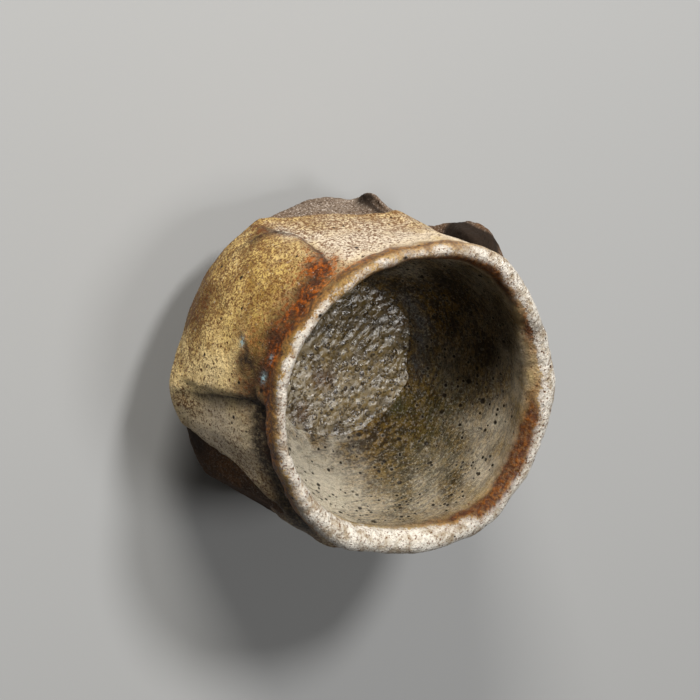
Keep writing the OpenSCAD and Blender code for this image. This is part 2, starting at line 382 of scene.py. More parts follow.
def blend(tree, fac, a, b, how="MIX"):
    made = node(tree, "ShaderNodeMix", {0: fac, 6: a, 7: b}, data_type="RGBA", blend_type=how)
    return made.outputs[2]


def channels(tree, name):
    """A stored colour's red, green, blue and alpha as four numbers."""
    read = node(tree, "ShaderNodeAttribute", attribute_name=name)
    split = node(tree, "ShaderNodeSeparateColor", {"Color": read.outputs["Color"]})
    return [split.outputs["Red"], split.outputs["Green"], split.outputs["Blue"], read.outputs["Alpha"]]


def spots(tree, at, scale, share, size):
    """Round spots in a share of a scattered pattern's cells: their middles, their rims, and a dome over each."""
    cells = node(tree, "ShaderNodeTexVoronoi", {"Vector": at, "Scale": scale, "Randomness": 1.0})
    draw = node(tree, "ShaderNodeSeparateColor", {"Color": cells.outputs["Color"]})
    picked = sums(tree, "LESS_THAN", draw.outputs["Red"], share)
    near = sums(tree, "DIVIDE", cells.outputs["Distance"], ramp(tree, draw.outputs["Green"], 0, 1, size * 0.6, size * 1.3))
    middle = sums(tree, "MULTIPLY", ramp(tree, near, 1.0, 0.65), picked)
    rim = sums(tree, "MULTIPLY", sums(tree, "MULTIPLY", ramp(tree, near, 1.25, 0.95), ramp(tree, near, 0.5, 0.85)), picked)
    level = ramp(tree, near, 0.0, 1.0)
    dome = sums(tree, "MULTIPLY", sums(tree, "SUBTRACT", 1.0, sums(tree, "MULTIPLY", level, level)), picked)
    return middle, rim, dome


def new_finish(name):
    mat = bpy.data.materials.new(name)
    mat.use_nodes = True
    tree = mat.node_tree
    tree.nodes.clear()
    at = node(tree, "ShaderNodeTexCoord").outputs["Object"]
    shader = node(tree, "ShaderNodeBsdfPrincipled")
    out = node(tree, "ShaderNodeOutputMaterial", {"Surface": shader.outputs["BSDF"]})
    return mat, tree, at, shader


def bumps(tree, shader, layers):
    """Stacks bump layers of (height, strength, distance in mm)."""
    last = None
    for height, strength, far in layers:
        links = {"Height": height, "Strength": strength, "Distance": far * MM}
        if last is not None:
            links["Normal"] = last
        last = node(tree, "ShaderNodeBump", links).outputs["Normal"]
    tree.links.new(last, shader.inputs["Normal"])


def tone(colour):
    return tuple(colour) + (1.0,)


def raw_clay_finish(name, colours):
    """Gritty wood-fired stoneware: grey-tan where ash fell on it, dark brown below, near black where shade is painted
    into its hollows, and pale along a painted highlight on the fin's edge.
    """
    mat, tree, at, shader = new_finish(name)
    dust_and_highlight, scorch_and_shade, _, _ = channels(tree, "clay_tint")
    broad = noise(tree, at, 160, 4)
    grit = noise(tree, at, 1500, 4, 0.7)
    fine = noise(tree, at, 2600, 3, 0.7)
    colour = blend(tree, ramp(tree, broad, 0.42, 0.58), tone(colours.clay), tone(colours.clay_dark))
    # Ash on the clay goes grey-tan, and so does a painted highlight along the fin's edge.
    colour = blend(tree, dust_and_highlight, colour, tone(colours.clay_dusted))
    colour = blend(tree, ramp(tree, grit, 0.52, 0.58, 0.0, 0.75), colour, tone(colours.clay_dark))
    grains = sums(tree, "MULTIPLY", ramp(tree, fine, 0.55, 0.62), ramp(tree, dust_and_highlight, 0, 1, 0.20, 0.85))
    colour = blend(tree, grains, colour, tone(colours.clay_grain))
    # Painted shade: the clay's hollows, the lobe's end, the fin's wall and the foot's top go near black.
    colour = blend(tree, scorch_and_shade, colour, tone(colours.char))
    tree.links.new(colour, shader.inputs["Base Color"])
    tree.links.new(ramp(tree, grit, 0.3, 0.7, 0.95, 0.70), shader.inputs["Roughness"])
    shader.inputs["Specular IOR Level"].default_value = 0.2
    stones = node(tree, "ShaderNodeTexVoronoi", {"Vector": at, "Scale": 900.0}, feature="SMOOTH_F1")
    bumps(tree, shader, [(stones.outputs["Distance"], 0.8, 0.40), (grit, 0.9, 0.50), (fine, 0.7, 0.20)])
    return mat


def ash_colour(tree, colours, tints, fields):
    """The glaze outside: ochre with dense brown flecks, cream where ash bloomed and as a painted highlight along the
    ridge, and burnt beside the lip.
    """
    cloud, grain, fine = fields
    coat = blend(tree, ramp(tree, cloud, 0.42, 0.58), tone(colours.ochre_dark), tone(colours.ochre))
    coat = blend(tree, ramp(tree, grain, 0.50, 0.58, 0.0, 0.6), coat, tone(colours.ochre_pale))
    coat = blend(tree, sums(tree, "MULTIPLY", tints["straw"], ramp(tree, cloud, 0.36, 0.50, 0.5, 1.0)), coat, tone(colours.straw))
    creamy = sums(tree, "MULTIPLY", tints["cream"], ramp(tree, cloud, 0.34, 0.46, 0.65, 1.0))
    coat = blend(tree, creamy, coat, tone(colours.cream))
    coat = blend(tree, sums(tree, "MULTIPLY", tints["olive"], ramp(tree, grain, 0.40, 0.54, 0.6, 1.0)), coat, tone(colours.olive_brown))
    dense = sums(tree, "ADD", fine, sums(tree, "MULTIPLY", tints["fleck"], 0.13))
    coat = blend(tree, ramp(tree, dense, 0.60, 0.66, 0.0, 0.85), coat, tone(colours.rust_brown))
    blotch = sums(tree, "ADD", grain, sums(tree, "MULTIPLY", tints["fleck"], 0.08))
    coat = blend(tree, ramp(tree, blotch, 0.60, 0.66, 0.0, 0.7), coat, tone(colours.rust_brown))
    burn = blend(tree, ramp(tree, grain, 0.46, 0.60), tone(colours.burnt), tone(colours.rust))
    return blend(tree, sums(tree, "MULTIPLY", tints["rust"], ramp(tree, cloud, 0.34, 0.50, 0.75, 1.0)), coat, burn)


def wall_colour(tree, colours, tints, fields, level):
    """The glaze inside: olive and brown, streaked along the throwing rings, with a cream wash."""
    cloud, grain, fine = fields
    streaks = noise(tree, level, 520, 4, 0.65, 0.4)
    fibre = noise(tree, level, 1500, 3, 0.7)
    wall = blend(tree, ramp(tree, streaks, 0.45, 0.56), tone(colours.inner_dark), tone(colours.inner))
    wall = blend(tree, sums(tree, "MULTIPLY", tints["olive"], 0.9), wall, tone(colours.olive))
    washed = sums(tree, "MULTIPLY", tints["cream"], ramp(tree, streaks, 0.36, 0.48, 0.6, 1.0))
    wall = blend(tree, washed, wall, tone(colours.inner_cream))
    wall = blend(tree, tints["grey"], wall, tone(colours.grey_band))
    threads = sums(tree, "MULTIPLY", ramp(tree, fibre, 0.51, 0.58), ramp(tree, tints["cream"], 0, 1, 0.85, 0.10))
    wall = blend(tree, threads, wall, tone(colours.inner_dark))
    specks = sums(tree, "MULTIPLY", ramp(tree, fine, 0.42, 0.36), ramp(tree, tints["cream"], 0, 1, 0.6, 0.15))
    wall = blend(tree, specks, wall, tone(colours.burnt))
    return blend(tree, ramp(tree, fine, 0.57, 0.62, 0.0, 0.35), wall, tone(colours.inner_cream)), fibre


def fired_glaze_finish(name, colours, shine):
    """Ash glaze that runs from ochre and cream outside, over the white lip, to glossy olive inside."""
    mat, tree, at, shader = new_finish(name)
    tints = dict(zip(("cream", "rust", "dark", "olive"), channels(tree, "ash_tint")))
    tints |= dict(zip(("inside", "opal", "thin", "white"), channels(tree, "coat_tint")))
    tints |= dict(zip(("fleck", "dots", "honey", "grey"), channels(tree, "fleck_tint")))
    tints |= dict(zip(("straw", "amber", "holes", "none"), channels(tree, "lip_tint")))
    inside = tints["inside"]
    fields = (noise(tree, at, 420, 4, 0.6), noise(tree, at, 1200, 4, 0.7), noise(tree, at, 2100, 3, 0.75))
    cloud, grain, fine = fields
    level = node(tree, "ShaderNodeMapping", {"Vector": at, "Scale": (1, 1, 3)}).outputs[0]
    coat = ash_colour(tree, colours, tints, fields)
    wall, fibre = wall_colour(tree, colours, tints, fields, level)
    coat = blend(tree, inside, coat, wall)

    # Lip
    crust = noise(tree, at, 1500, 4, 0.75)
    lip = blend(tree, ramp(tree, cloud, 0.36, 0.54), tone(colours.lip_beige), tone(colours.lip_white))
    lip = blend(tree, ramp(tree, crust, 0.55, 0.63, 0.0, 0.45), lip, tone(colours.lip_beige))
    lip = blend(tree, ramp(tree, fine, 0.54, 0.61, 0.0, 0.85), lip, tone(colours.rust_brown))
    worn = sums(tree, "ADD", tints["white"], ramp(tree, crust, 0.35, 0.65, -0.5, 0.5))
    coat = blend(tree, ramp(tree, worn, 0.42, 0.58), coat, lip)
    honey = blend(tree, ramp(tree, grain, 0.42, 0.58), tone(colours.burnt), tone(colours.honey))
    coat = blend(tree, sums(tree, "MULTIPLY", tints["honey"], ramp(tree, crust, 0.36, 0.50, 0.7, 1.0)), coat, honey)
    amber = blend(tree, ramp(tree, grain, 0.46, 0.62), tone(colours.burnt), tone(colours.amber))
    coat = blend(tree, sums(tree, "MULTIPLY", tints["amber"], ramp(tree, crust, 0.34, 0.50, 0.8, 1.0)), coat, amber)
    coat = blend(tree, tints["thin"], coat, tone(colours.thin_edge))
    # Dark patches, with painted shade along the crease, in the groove under the lip and low on the front left.
    coat = blend(tree, sums(tree, "MULTIPLY", tints["dark"], ramp(tree, grain, 0.36, 0.52, 0.6, 1.0)), coat, tone(colours.char))
    coat = blend(tree, sums(tree, "MULTIPLY", tints["opal"], ramp(tree, fine, 0.42, 0.52)), coat, tone(colours.opal))

    # Rust dots and pinholes
    dot, dot_rim, dot_dome = spots(tree, at, 900.0, tints["dots"], 0.27)
    coat = blend(tree, sums(tree, "MULTIPLY", dot, 0.9), coat, tone(colours.rust_brown))
    small, small_rim, small_dome = spots(tree, at, 850.0, tints["holes"], 0.29)
    large, large_rim, large_dome = spots(tree, at, 420.0, tints["holes"], 0.21)
    hole = sums(tree, "MAXIMUM", small, large)
    coat = blend(tree, sums(tree, "MULTIPLY", sums(tree, "MULTIPLY", small_rim, inside), 0.25), coat, tone(colours.inner_cream))
    coat = blend(tree, sums(tree, "MULTIPLY", hole, 0.95), coat, tone(colours.char))
    tree.links.new(coat, shader.inputs["Base Color"])

    glossy = sums(tree, "MAXIMUM", inside, sums(tree, "MULTIPLY", tints["white"], 0.8))
    rough = sums(tree, "ADD", ramp(tree, grain, 0.35, 0.65, 0.0, 0.12), ramp(tree, glossy, 0, 1, 0.38, 0.07))
    shader.inputs["Specular IOR Level"].default_value = shine
    tree.links.new(rough, shader.inputs["Roughness"])
    pits = sums(tree, "ADD", sums(tree, "MAXIMUM", small_dome, large_dome), sums(tree, "MULTIPLY", dot_dome, 0.5))
    bumps(tree, shader, [
        (cloud, 0.7, 0.9), (grain, 1.0, 0.55), (sums(tree, "MULTIPLY", fibre, inside), 1.0, 1.3), (fine, 0.9, 0.25),
        (sums(tree, "SUBTRACT", 1.0, pits), 1.0, 0.30)])
    return mat


def pool_finish(name, colours):
    """Clear glass pooled on the floor, full of bubbles and pinholes."""
    mat, tree, at, shader = new_finish(name)
    pale, dark, brown, _ = channels(tree, "pool_tint")
    cloud = noise(tree, at, 450, 4, 0.65)
    grain = noise(tree, at, 1300, 4, 0.7)
    colour = blend(tree, ramp(tree, cloud, 0.42, 0.56), tone(colours.pool_dark), tone(colours.pool))
    # Milky patches, and painted light with a highlight along the edge at the pool's lower left.
    milky_and_lit = sums(tree, "MULTIPLY", ramp(tree, pale, 0, 1, 0.25, 1.0), ramp(tree, grain, 0.44, 0.56))
    colour = blend(tree, milky_and_lit, colour, tone(colours.pool_pale))
    colour = blend(tree, brown, colour, tone(colours.burnt))
    # Dark lines along the pool's edge; the one along its lower edge is a painted shadow.
    colour = blend(tree, dark, colour, tone(colours.char))
    small, small_rim, small_dome = spots(tree, at, 1300.0, 0.8, 0.36)
    large, large_rim, large_dome = spots(tree, at, 700.0, 0.6, 0.30)
    colour = blend(tree, sums(tree, "MULTIPLY", small_rim, 0.85), colour, tone(colours.char))
    colour = blend(tree, sums(tree, "MULTIPLY", small, 0.45), colour, tone(colours.pool_dark))
    colour = blend(tree, sums(tree, "MULTIPLY", large_rim, 0.95), colour, tone(colours.char))
    tree.links.new(colour, shader.inputs["Base Color"])
    tree.links.new(ramp(tree, grain, 0.35, 0.65, 0.03, 0.09), shader.inputs["Roughness"])
    shader.inputs["Specular IOR Level"].default_value = 1.0
    bumps(tree, shader, [(cloud, 1.0, 0.30), (grain, 1.0, 0.10), (small_dome, 1.0, 0.05), (large_dome, 1.0, 0.09)])
    return mat


# Where each tint lies: turn, drop, radius, half width, half height, strength
# Two narrow marks beside the ridge, at turns 35 and 31.5, paint a highlight along its edge.
CREAM = [
    (-46, 15, 31, 9, 12, 0.6), (-54, 24, 32, 8, 8, 0.6), (44, 14, 30, 10, 12, 0.8), (56, 10, 29, 9, 8, 0.7),
    (35, 9, 30, 4, 5, 0.8), (85, 8, 29, 14, 9, 0.8), (31.5, 20, 31, 2.2, 8, 0.9),
    (135, 12, 30, 22, 12, 0.7), (-170, 12, 30, 26, 12, 0.7), (-112, 16, 31, 16, 14, 0.6),
    (-104, 22, 21, 8, 7, 1.0), (-95, 14, 24, 11, 9, 0.9), (-80, 27.6, 16.2, 4, 1.2, 0.9), (-104, 27.6, 16.2, 4, 1.2, 0.9), (-124, 27.6, 16.2, 3, 1.0, 0.8),
    (-84, 22, 22, 8, 6, 0.9), (-60, 14, 24, 14, 9, 0.6), (10, 12, 24, 18, 10, 0.4), (-98, 20, 22, 7, 5, 0.6), (86, 22, 21, 4, 5, 0.5), (150, 23, 21, 6, 4, 0.3)]
STRAW = [(12, 28, 33.5, 6, 4, 0.55), (2, 20, 33, 6, 5, 0.15), (-24, 21, 33, 7, 7, 1.0), (-30, 28, 33, 6, 5, 1.0), (-5, 22, 33, 6, 3, 0.25), (-18, 14, 31.5, 5, 4, 0.4), (-44, 12, 31, 9, 10, 0.3), (-52, 22, 32, 9, 10, 0.3)]
RUST = [
    (11, 5.4, 30, 6, 3.4, 1.0), (2, 5.0, 29.9, 6, 2.8, 1.0), (-8, 4.6, 29.9, 6, 1.8, 0.9), (-18, 5.0, 30, 5, 1.6, 0.9),
    (-25, 8.5, 30.6, 3.0, 3.0, 0.6), (23, 8.6, 30.3, 3, 4, 0.9), (-12, 10, 31, 5, 3, 0.45), (34, 3.6, 29.8, 9, 1.1, 0.8),
    (121, 1.0, 28, 3.4, 1.7, 1.0), (101, 0.8, 27.2, 5, 1.2, 0.4)]
# Its last three marks, low outside at the front left, are partly dark ash and partly painted shade.
DARK = [
    (-16, 9.8, 30.8, 1.9, 3.6, 1.0), (-19, 6.0, 30, 2.6, 1.9, 0.9), (3, 5.0, 29.8, 3, 0.8, 0.7), (10, 8.2, 30.3, 1.2, 2.2, 0.5),
    (18, 7.4, 30.2, 1.6, 1.4, 0.8), (-7, 6.8, 30, 3.6, 2.0, 0.6), (2, 8.4, 30.2, 3.0, 1.8, 0.45), (-22, 8.0, 30.6, 3.0, 2.4, 0.5), (121, 1.4, 28, 2.2, 1.0, 0.7), (-4, 6.2, 30, 1.2, 2.2, 0.6),
    (112, 11, 25.3, 9, 6, 0.45), (130, 11, 25.3, 8, 5, 0.5), (118, 18, 23.4, 5, 4, 0.4), (101, 19.5, 22.6, 5, 4, 0.85),
    (130, 22.9, 21, 1.6, 1.8, 0.95), (141, 16.4, 24.2, 3.5, 3.5, 0.85), (96, 26.5, 17.5, 2.5, 2.5, 0.8), (78, 25, 19, 3, 4, 0.8), (-84, 8, 30, 3, 2, 0.7), (-92, 11, 30, 3, 2.5, 0.7), (-78, 13, 30, 2, 2, 0.6)]
OLIVE = [
    (-6, 27, 33.8, 4.6, 3.6, 1.0), (38, 3.0, 29.9, 9, 1.3, 0.6), (-11, 32, 32.5, 3.5, 3, 1.0), (2, 33, 32.5, 5, 2.0, 0.7), (20, 25.5, 33.9, 4, 1.6, 1.0), (-9, 28.5, 33, 3, 3, 0.8),
    (-3, 15, 32, 5, 2.5, 0.35), (8, 22, 33.5, 3, 2, 0.4), (-174, 27.3, 16.3, 2.6, 2, 0.9), (170, 22, 21, 10, 8, 0.4), (-160, 20, 22, 9, 8, 0.35), (-145, 14, 24, 12, 8, 0.3)]
OPAL = [(-11.4, 12.5, 31.6, 0.8, 0.6, 1.0), (-19.5, 5.6, 29.9, 0.9, 0.5, 0.7), (-12.5, 5.0, 29.7, 0.7, 0.4, 0.6)]
FLECK = [
    (4, 27, 33.8, 14, 9, 0.9), (-10, 32, 32.5, 9, 5, 1.0), (18, 27, 33.5, 8, 6, 1.0), (12, 12, 31, 9, 6, 0.6),
    (45, 24, 30.5, 12, 8, 0.9), (60, 18, 30, 9, 7, 0.8), (45, 10, 30, 9, 5, 0.5), (-38, 26, 33.5, 2.5, 3.0, 1.0), (-62, 12, 30.5, 5, 5, 0.7), (-88, 10, 30, 12, 6, 1.0), (-75, 16, 31, 6, 6, 0.8)]
DOTS = [
    (-20, 22, 33, 10, 8, 0.3), (-45, 22, 32, 9, 9, 0.5), (145, 1.0, 28, 14, 3, 0.8), (172, 1.0, 28, 10, 3, 0.75),
    (45, 12, 30, 12, 8, 0.35), (-150, 1, 28, 12, 2, 0.25), (-60, 1, 28, 20, 2, 0.3)]
GREY = [(110, 27.4, 16.8, 2.4, 1.4, 0.9), (126, 27.4, 16.8, 2.4, 1.4, 1.0), (142, 27.4, 16.6, 2.2, 1.4, 0.9), (156, 27.6, 16.2, 1.8, 1.4, 0.6)]

# Lines of brown and black: points of turn and drop, strengths, widths on the front side and on the other
RIDGE = [(26, 7.6), (28.5, 12.8), (29.7, 20.3), (26.1, 25.4), (23.3, 30)]
# The first, second and last lines are painted shade along the crease and in the groove under the lip.
DARK_LINES = [
    (STEPS[0][0], [1.0, 1.0, 0.95, 0.9, 0.8, 0.5], 1.5, 0.35), (STEPS[1][0], [0.9, 1.0, 1.0, 1.0, 1.0, 1.0], 3.6, 0.5),
    ([(-10, 13.5), (-13, 11), (-17, 9)], [0.7, 0.9, 0.8], 0.6, 0.6), (RIDGE, [0.5, 0.6, 0.7, 0.7, 0.5], 1.1, 0.2),
    ([(27, 24.5), (17.7, 26.0), (8, 28.5)], [0.7, 0.55, 0.2], 1.2, 0.5),
    ([(-84, 6.6), (-66, 7.4), (-54, 8.2), (-45, 8.8), (-36, 8.2), (-29, 7.0)], [0.5, 0.7, 0.9, 0.95, 0.95, 0.9], 1.4, 2.4)]
RUST_LINES = [
    (RIDGE, [0.9, 0.6, 0.4, 0.3, 0.3], 1.5, 0.25),
    ([(-84, 3.4), (-55, 3.2), (-28, 3.4), (-10, 3.6)], [0.9, 1.0, 1.0, 0.8], 1.3, 1.0), ([(-66, 5.8), (-50, 6.2), (-40, 6.2), (-30, 5.6)], [0.5, 0.8, 0.8, 0.7], 1.2, 1.2)]

# The lip's bands: turn, drop where the white ends outside and inside, honey's and amber's strength, amber's reach
LIP_BANDS = [
    (-172, 3.2, 0.15, 0.2, 1.0, 1.5), (-155, 3.6, 0.7, 0.1, 0.9, 1.1), (-138, 3.8, 2.2, 0.0, 0.4, 1.2), (-110, 3.0, 3.0, 0.0, 0.0, 1.0),
    (-85, 1.8, 3.0, 0.6, 0.0, 1.0), (-60, 1.3, 2.4, 1.0, 0.0, 1.0), (-40, 1.1, 1.8, 1.0, 0.0, 1.0), (-20, 1.4, 1.5, 1.0, 0.0, 1.0),
    (5, 1.4, 1.3, 0.5, 0.2, 1.0), (22, 1.2, 1.0, 0.9, 0.5, 1.0), (45, 1.0, 0.7, 1.0, 0.9, 1.0), (70, 1.1, 0.6, 1.0, 1.0, 1.2),
    (90, 2.0, 0.8, 0.4, 0.9, 0.9), (112, 3.0, 0.8, 0.2, 0.35, 0.8), (140, 3.6, 0.9, 0.1, 0.2, 0.7), (165, 3.4, 0.5, 0.2, 0.8, 1.4)]


def tint_coat(piece, rest):
    """Stores the broad tints of the glaze, which run on from coat to coat."""
    turn, drop, r = polar(rest)
    depth = kept(piece, "cover")
    inside = (1 - ease(r, 25.9, 27.3)) * ease(drop, 1.2, 2.6)
    outside = 1 - inside
    frayed = drop + 0.2 * ripple(rest, 3, 51) + 0.15 * ripple(rest, 1.2, 52)
    outer_end, inner_end, honeyed, ambered, reach = (by_turn(turn, c, LIP_BANDS) for c in range(1, 6))
    outer_face = ease(r, 27.3, 28.3)
    end = outer_end * outer_face + inner_end * (1 - outer_face)
    white = 1 - ease(frayed, end * 0.75, end * 1.25 + 0.3)
    honey = honeyed * outer_face * np.exp(-((frayed - outer_end - 1.2) / 1.3) ** 2)
    amber = np.clip(1.7 * ambered * (1 - outer_face) * np.exp(-((frayed - inner_end - reach) / reach) ** 2), 0, 1)
    dark = 1 - (1 - marks(rest, DARK, 0.5)) * (1 - outside * lines(rest, DARK_LINES, 0.2))
    rust = np.clip(1.35 * (1 - (1 - marks(rest, RUST, 0.6)) * (1 - outside * lines(rest, RUST_LINES, 0.4))), 0, 1)
    thin = 0.9 * np.exp(-(np.maximum(depth, 0) / 0.75) ** 2) * outside
    fleck = np.clip(0.35 * outside * ease(drop, 3, 6) + marks(rest, FLECK, 1.6), 0, 1)
    holes = 0.8 * inside * ease(drop, 3, 8) * (0.5 + 0.5 * np.clip(ripple(rest, 7, 53) + 0.4, 0, 1)) + 0.04 * outside
    keep(piece, "ash_tint", np.stack([marks(rest, CREAM, 1.4), rust, dark, np.clip(1.25 * marks(rest, OLIVE, 0.7), 0, 1)], 1))
    keep(piece, "coat_tint", np.stack([inside, marks(rest, OPAL, 0.25), thin, np.clip(white, 0, 1)], 1))
    keep(piece, "fleck_tint", np.stack([fleck, marks(rest, DOTS, 1.0), honey, marks(rest, GREY, 0.4)], 1))
    keep(piece, "lip_tint", np.stack([marks(rest, STRAW, 1.6) * outside, amber, holes, 1 + 0 * r], 1))


def cover_depth(p, names):
    """How far inside the glazed area each point of the bare clay lies, in mm, negative outside it."""
    deps = bpy.context.evaluated_depsgraph_get()
    trees = [BVHTree.FromObject(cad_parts[n], deps) for n in names]
    spots = [Vector(q) for q in p * MM]
    covered = np.array([min(t.find_nearest(q)[3] for t in trees) < 0.22 * MM for q in spots])
    depth = np.zeros(len(p))
    for side, sign in ((True, 1), (False, -1)):
        other = np.flatnonzero(covered != side)
        tree = KDTree(len(other))
        for i in other:
            tree.insert(spots[i], int(i))
        tree.balance()
        for i in np.flatnonzero(covered == side):
            depth[i] = sign * tree.find(spots[i])[2] / MM
    return depth


# What a user may change

class SakeCupClay(bpy.types.PropertyGroup):
    cell: bpy.props.FloatProperty(name="Clay mesh", description="Size of the body's mesh faces, in millimetres", default=0.42, min=0.3, max=1.0)
    soften: bpy.props.IntProperty(name="Soften", description="Rounds of smoothing over the carved edges", default=3, min=0, max=30)
    grit: bpy.props.FloatProperty(name="Grit", description="How far the grit stands out of the raw clay, in millimetres", default=0.06, min=0.0, max=0.3)


class SakeCupGlaze(bpy.types.PropertyGroup):
    outer: bpy.props.FloatProperty(name="Outside", description="Thickness of the ash glaze outside, in millimetres", default=0.6, min=0.2, max=1.2)
    lip: bpy.props.FloatProperty(name="Lip", description="Thickness of the glaze over the lip, in millimetres", default=0.9, min=0.3, max=1.4)
    inner: bpy.props.FloatProperty(name="Inside", description="Thickness of the glaze inside, in millimetres", default=0.5, min=0.2, max=1.0)
    roll: bpy.props.FloatProperty(name="Edge roll", description="How much thicker the glaze is along its lower edge", default=0.35, min=0.0, max=1.0)


def colour_choice(name, description, default):
    return bpy.props.FloatVectorProperty(name=name, description=description, subtype="COLOR", size=3, min=0, max=1, default=default)


class SakeCupColours(bpy.types.PropertyGroup):
    ochre: colour_choice("Ochre", "Ash glaze outside", (0.50, 0.345, 0.090))
    ochre_dark: colour_choice("Dark ochre", "Ash glaze where it is darker", (0.26, 0.145, 0.020))
    ochre_pale: colour_choice("Pale ochre", "Light grains in it", (0.62, 0.44, 0.16))
    straw: colour_choice("Straw", "Yellow bloom on its front", (0.88, 0.68, 0.33))
    # Cream also paints a highlight along the ridge's edge.
    cream: colour_choice("Cream", "Pale bloom on the ash glaze", (0.70, 0.62, 0.51))
    olive_brown: colour_choice("Olive brown", "Dark patches outside", (0.075, 0.035, 0.005))
    rust: colour_choice("Rust", "Burn beside the lip", (0.30, 0.070, 0.001))
    burnt: colour_choice("Burnt", "Dark streaks in the burn", (0.055, 0.015, 0.003))
    rust_brown: colour_choice("Rust brown", "Flecks and dots", (0.11, 0.040, 0.008))
    honey: colour_choice("Honey", "Thin glaze along the lip's edges", (0.21, 0.090, 0.006))
    amber: colour_choice("Amber", "Thin glaze inside the lip", (0.17, 0.052, 0.001))
    thin_edge: colour_choice("Thin edge", "Where the glaze thins out at its edge", (0.07, 0.030, 0.010))
    lip_white: colour_choice("Lip", "Thick pale glaze on the lip", (0.70, 0.67, 0.61))
    lip_beige: colour_choice("Lip beige", "Where that glaze is thinner", (0.36, 0.30, 0.22))
    inner: colour_choice("Inside", "Glossy glaze inside", (0.25, 0.145, 0.022))
    inner_dark: colour_choice("Inside dark", "Streaks in it", (0.036, 0.018, 0.003))
    inner_cream: colour_choice("Inside cream", "Pale wash inside", (0.80, 0.73, 0.58))
    olive: colour_choice("Olive", "Green where it ran thick", (0.060, 0.062, 0.014))
    grey_band: colour_choice("Grey band", "Thin blue-grey film beside the pool", (0.150, 0.160, 0.165))
    opal: colour_choice("Opal", "Blue drops of thick glaze", (0.30, 0.48, 0.55))
    # Also paints shade: in the clay's hollows, along the glaze's crease and groove, low on its front left, and along
    # the pool's lower edge.
    char: colour_choice("Char", "Smoke and pinholes", (0.016, 0.009, 0.005))
    clay: colour_choice("Clay", "Raw stoneware", (0.100, 0.042, 0.010))
    clay_dark: colour_choice("Dark clay", "Where it is scorched", (0.036, 0.014, 0.003))
    clay_dusted: colour_choice("Dusted clay", "Where ash fell on it", (0.16, 0.120, 0.090))
    clay_grain: colour_choice("Clay grains", "Pale grains in it", (0.52, 0.45, 0.39))
    pool: colour_choice("Pool", "Glass on the floor inside", (0.165, 0.113, 0.036))
    pool_dark: colour_choice("Dark pool", "Where it is deep", (0.065, 0.042, 0.012))
    # Also paints the light and the highlight on the pool's lower left.
    pool_pale: colour_choice("Pale pool", "Milky patches and bubbles", (0.36, 0.32, 0.24))


class SakeCupStage(bpy.types.PropertyGroup):
    floor: colour_choice("Floor", "Pale floor", (0.34, 0.35, 0.36))
    key: bpy.props.FloatProperty(name="Key light", description="Power of the large soft light", default=9.6, min=0, subtype="POWER")
    side: bpy.props.FloatProperty(name="Side light", description="Share of the key light's power in the second one", default=0.7, min=0)
    over: bpy.props.FloatProperty(name="Top light", description="Share of the key light's power in the small one above", default=0.26, min=0)
    fill: bpy.props.FloatProperty(name="Fill", description="Strength of the light from all round", default=0.07, min=0)
    distance: bpy.props.FloatProperty(name="Camera distance", description="From the middle of the mouth", default=0.6, min=0.2, unit="LENGTH")
    lens: bpy.props.FloatProperty(name="Lens", description="Focal length", default=170.33, min=20, unit="CAMERA")


# One operator for each piece

class SAKECUP_OT_clay(bpy.types.Operator):
    """Throw, carve and fire the clay body"""
    bl_idname = "sake_cup.clay"
    bl_label = "Clay body"

    def execute(self, context):
        s = context.scene.sake_cup_clay
        piece = copy_of("clay_body", "stoneware_body")
        clay_skin(piece, s.cell)
        cut_level(piece, NECK)
        rest = points(piece)
        if len(rest) < 20000:
            raise RuntimeError("the clay body's mesh is too coarse")
        links = edges(piece)
        depth = cover_depth(rest, ["outer_glaze", "lip_glaze", "inner_glaze", "glaze_pool"])
        depth = even_out(depth, links, 6) + 0.25 * ripple(rest, 4, 21) + 0.12 * ripple(rest, 1.5, 22)
        rest = even_out(rest, links, s.soften)
        keep(piece, "rest", rest)
        keep(piece, "cover", depth)
        place(piece, hand_shaped(rest))
        bare = 1 - ease(depth, -0.6, 0.2)
        rough = s.grit * (0.7 * ripple(rest, 1.3, 5) + 0.5 * ripple(rest, 0.75, 6)) * bare
        place(piece, points(piece) + normals(piece) * rough[:, None])
        turn, drop, r = polar(rest)
        dust_and_highlight = marks(rest, [(56, 31, 30, 16, 10, 1.0), (110, 20, 33, 16, 12, 0.5), (15, 38, 30, 16, 5, 0.5)], 1.0)
        # These marks are painted shade: a band under the glaze's lower edge at the front left, and the hollow below it.
        scorch_and_shade = marks(rest, [(-50, 28, 32, 14, 3.0, 0.9), (-90, 28, 31, 14, 9, 0.5)], 0.8)
        # The lobe's hollow end face and the fin's wall are painted near black as shade.
        end_face_shade = ease(turn, 94.6, 95.8) * (1 - ease(turn, 101, 104)) * ease(r, 29.4, 30.4) * (1 - ease(r, 34.2, 34.8))
        end_face_shade *= ease(drop, 8, 10.5) * (1 - ease(drop, 26, 28))
        fin_wall_shade = lines(rest, [([(63.6, 30), (64.4, 27), (65.2, 22.5)], [0.9, 1.0, 0.9], 0.35, 0.9)], 0.1)
        scorch_and_shade = np.maximum.reduce([scorch_and_shade, end_face_shade, fin_wall_shade])
        # A pale line along the fin's edge is a painted highlight.
        dust_and_highlight = np.maximum(dust_and_highlight, lines(rest, [([(65.8, 30), (66.6, 27), (67.4, 22.5), (68.5, 18)], [1.0, 1.0, 1.0, 0.7], 0.7, 0.7)], 0.1))
        keep(piece, "clay_tint", np.stack([dust_and_highlight, scorch_and_shade, 0 * r, 1 + 0 * r], 1))
        finish_piece(piece, "clay_body", raw_clay_finish("raw stoneware", context.scene.sake_cup_colours))
        return {"FINISHED"}


